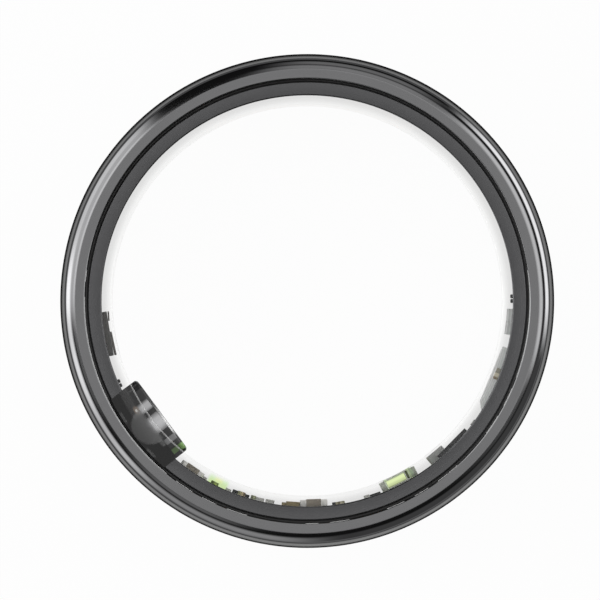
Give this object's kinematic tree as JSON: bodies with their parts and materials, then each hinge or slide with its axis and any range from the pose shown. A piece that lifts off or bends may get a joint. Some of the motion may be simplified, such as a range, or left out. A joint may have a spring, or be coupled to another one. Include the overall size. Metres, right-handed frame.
{
  "type": "smart ring",
  "caption": "Finger ring with a dark metal channel, a clear resin liner over its electronics and a domed optical sensor window inside.",
  "frame": {"origin": "centre of the finger bore at mid-width", "axes": "+Z along the ring's axis; seen from +Z with +X to the right, the sensor window is at the lower left; the ring lies flat on its lower rim"},
  "size_m": [0.025, 0.025, 0.008],
  "materials": {
    "shell_metal": "polished",
    "side_metal": "satin",
    "seal_black": "matte",
    "film_amber": "gloss",
    "cell_foil": "satin",
    "tab_nickel": "satin",
    "board_green": "satin",
    "chip_black": "matte",
    "ferrite": "matte",
    "coil_copper": "polished",
    "connector_black": "matte",
    "plug_brown": "matte",
    "capacitor_brown": "satin",
    "chip_grey": "matte",
    "can_grey": "satin",
    "antenna_ceramic": "satin",
    "gold": "polished",
    "filter_grey": "satin",
    "terminal_tin": "satin",
    "capacitor_grey": "satin",
    "resistor_black": "satin",
    "tantalum_tan": "satin",
    "inductor_brown": "satin",
    "pin_black": "satin",
    "photodiode_blue": "gloss",
    "led_green": "gloss",
    "led_red": "gloss",
    "led_infrared": "gloss",
    "barrier_black": "matte",
    "pillar_clear": "gloss",
    "guide_resin": "gloss",
    "window_smoke": "gloss",
    "liner_resin": "gloss"
  },
  "bodies": {
    "root": {"outer_shell": "shell_metal", "side_rings": "side_metal", "groove_seals": "seal_black", "insulation_film": "film_amber", "battery_cell": "cell_foil", "battery_tabs": "tab_nickel", "protection_board": "board_green", "protection_chips": "chip_black", "ferrite_sheet": "ferrite", "charging_coil": "coil_copper", "flex_board": "board_green", "connector_socket": "connector_black", "connector_plug": "plug_brown", "main_processor": "chip_black", "memory_chip": "chip_black", "power_chip": "chip_black", "back_capacitors": "capacitor_brown", "accelerometer": "chip_grey", "crystal": "can_grey", "chip_antenna": "antenna_ceramic", "antenna_terminals": "gold", "antenna_filters": "filter_grey", "large_capacitors": "capacitor_brown", "capacitor_terminals": "terminal_tin", "small_capacitors": "capacitor_grey", "small_resistors": "resistor_black", "tantalum_capacitor": "tantalum_tan", "power_inductor": "inductor_brown", "gold_contacts": "gold", "test_pins": "pin_black", "photodiode": "photodiode_blue", "green_leds": "led_green", "red_led": "led_red", "infrared_led": "led_infrared", "temperature_sensor": "chip_grey", "light_barriers": "barrier_black", "light_pillars": "pillar_clear", "light_guide": "guide_resin", "sensor_window": "window_smoke", "resin_liner": "liner_resin"}
  },
  "joints": []
}
